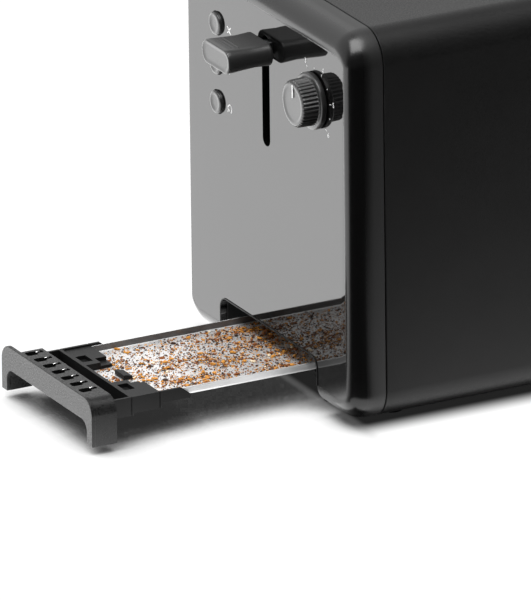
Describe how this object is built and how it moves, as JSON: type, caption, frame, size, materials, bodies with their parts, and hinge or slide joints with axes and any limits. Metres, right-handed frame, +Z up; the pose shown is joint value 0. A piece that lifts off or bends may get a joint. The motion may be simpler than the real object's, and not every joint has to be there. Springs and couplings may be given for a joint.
{
  "type": "pop-up toaster",
  "caption": "Upright kitchen toaster with twin bread slots, a sprung lift lever, a browning dial, push keys and a slide-out crumb tray.",
  "frame": {"origin": "middle of the object's footprint, tray drawn out as at rest, on the surface that the feet stand on", "axes": "+X from the tray end to the cord end, +Y to the far side, +Z up"},
  "size_m": [0.42, 0.171, 0.201],
  "materials": {
    "body_shell": "satin black with a very fine grain",
    "black_plastic": "matt black moulded plastic",
    "panel_gloss": "high gloss black panel",
    "control_plastic": "satin black moulded plastic",
    "rubber": "matt",
    "trim_steel": "brushed along the slot",
    "sheet_steel": "galvanised sheet, dull",
    "wire_steel": "bright wire",
    "mica": "mica board with faint flecks",
    "copper": "enamelled copper winding",
    "board": "green circuit board",
    "tray_steel": "bright sheet steel, lightly scattered with crumbs"
  },
  "bodies": {
    "housing": {"housing_shell": "body_shell", "front_end_frame": "black_plastic", "control_panel": "panel_gloss", "tray_opening_bezel": "black_plastic", "rear_end_frame": "black_plastic", "rear_panel": "black_plastic", "cord_gland": "black_plastic", "base_plate": "black_plastic", "slot_trim_near": "trim_steel", "foot_front_near": "rubber", "foot_rear_near": "rubber", "base_screw_front_near": "sheet_steel", "base_screw_rear_near": "sheet_steel", "tray_guide_near": "black_plastic", "heat_shield_near": "sheet_steel", "heater_board_near_inner": "mica", "heater_board_near_outer": "mica", "guide_rod_near": "wire_steel", "return_spring_near": "wire_steel", "slot_trim_far": "trim_steel", "foot_front_far": "rubber", "foot_rear_far": "rubber", "base_screw_front_far": "sheet_steel", "base_screw_rear_far": "sheet_steel", "tray_guide_far": "black_plastic", "heat_shield_far": "sheet_steel", "heater_board_far_inner": "mica", "heater_board_far_outer": "mica", "guide_rod_far": "wire_steel", "return_spring_far": "wire_steel", "chassis_front_plate": "sheet_steel", "chassis_rear_plate": "sheet_steel", "electromagnet": "copper", "control_board": "board", "browning_potentiometer": "black_plastic"},
    "crumb_tray": {"tray_handle": "black_plastic", "tray_carrier": "black_plastic", "tray_catch_tab": "black_plastic", "crumb_tray_pan": "tray_steel"},
    "lift": {"lift_carriage": "sheet_steel", "bread_lifter_near": "sheet_steel", "bread_lifter_far": "sheet_steel", "lever_arm": "sheet_steel", "lever_knob": "control_plastic", "latch_armature": "sheet_steel"},
    "browning_dial": {"browning_knob": "control_plastic"},
    "stop_key": {"stop_button": "control_plastic"},
    "defrost_key": {"defrost_button": "control_plastic"},
    "reheat_key": {"reheat_button": "control_plastic"},
    "guide_near_inner": {"bread_guide_near_inner": "wire_steel"},
    "guide_near_outer": {"bread_guide_near_outer": "wire_steel"},
    "guide_far_inner": {"bread_guide_far_inner": "wire_steel"},
    "guide_far_outer": {"bread_guide_far_outer": "wire_steel"}
  },
  "joints": [
    {"name": "tray_slide", "type": "slide", "parent": "housing", "child": "crumb_tray", "axis": [1, 0, 0], "range_m": [-0.08, 0.1192]},
    {"name": "lift_slide", "type": "slide", "parent": "housing", "child": "lift", "axis": [0, 0, -1], "range_m": [0, 0.046], "stiffness_N_per_m": 120, "springref_m": -0.03, "deforming": ["return_spring_near", "return_spring_far"]},
    {"name": "browning_turn", "type": "hinge", "parent": "housing", "child": "browning_dial", "pos_m": [-0.09, -0.05, 0.16], "axis": [1, 0, 0], "range_deg": [-135, 135]},
    {"name": "stop_press", "type": "slide", "parent": "housing", "child": "stop_key", "axis": [1, 0, 0], "range_m": [0, 0.0015], "stiffness_N_per_m": 300, "springref_m": -0.001},
    {"name": "defrost_press", "type": "slide", "parent": "housing", "child": "defrost_key", "axis": [1, 0, 0], "range_m": [0, 0.0015], "stiffness_N_per_m": 300, "springref_m": -0.001},
    {"name": "reheat_press", "type": "slide", "parent": "housing", "child": "reheat_key", "axis": [1, 0, 0], "range_m": [0, 0.0015], "stiffness_N_per_m": 300, "springref_m": -0.001},
    {"name": "guide_near_inner_slide", "type": "slide", "parent": "housing", "child": "guide_near_inner", "axis": [0, -1, 0], "range_m": [0, 0.006]},
    {"name": "guide_near_outer_slide", "type": "slide", "parent": "housing", "child": "guide_near_outer", "axis": [0, 1, 0], "range_m": [0, 0.006]},
    {"name": "guide_far_inner_slide", "type": "slide", "parent": "housing", "child": "guide_far_inner", "axis": [0, 1, 0], "range_m": [0, 0.006]},
    {"name": "guide_far_outer_slide", "type": "slide", "parent": "housing", "child": "guide_far_outer", "axis": [0, -1, 0], "range_m": [0, 0.006]}
  ],
  "couplings": [
    {"joint": "guide_near_inner_slide", "follows": "lift_slide", "ratio": 0.13},
    {"joint": "guide_near_outer_slide", "follows": "lift_slide", "ratio": 0.13},
    {"joint": "guide_far_inner_slide", "follows": "lift_slide", "ratio": 0.13},
    {"joint": "guide_far_outer_slide", "follows": "lift_slide", "ratio": 0.13}
  ]
}
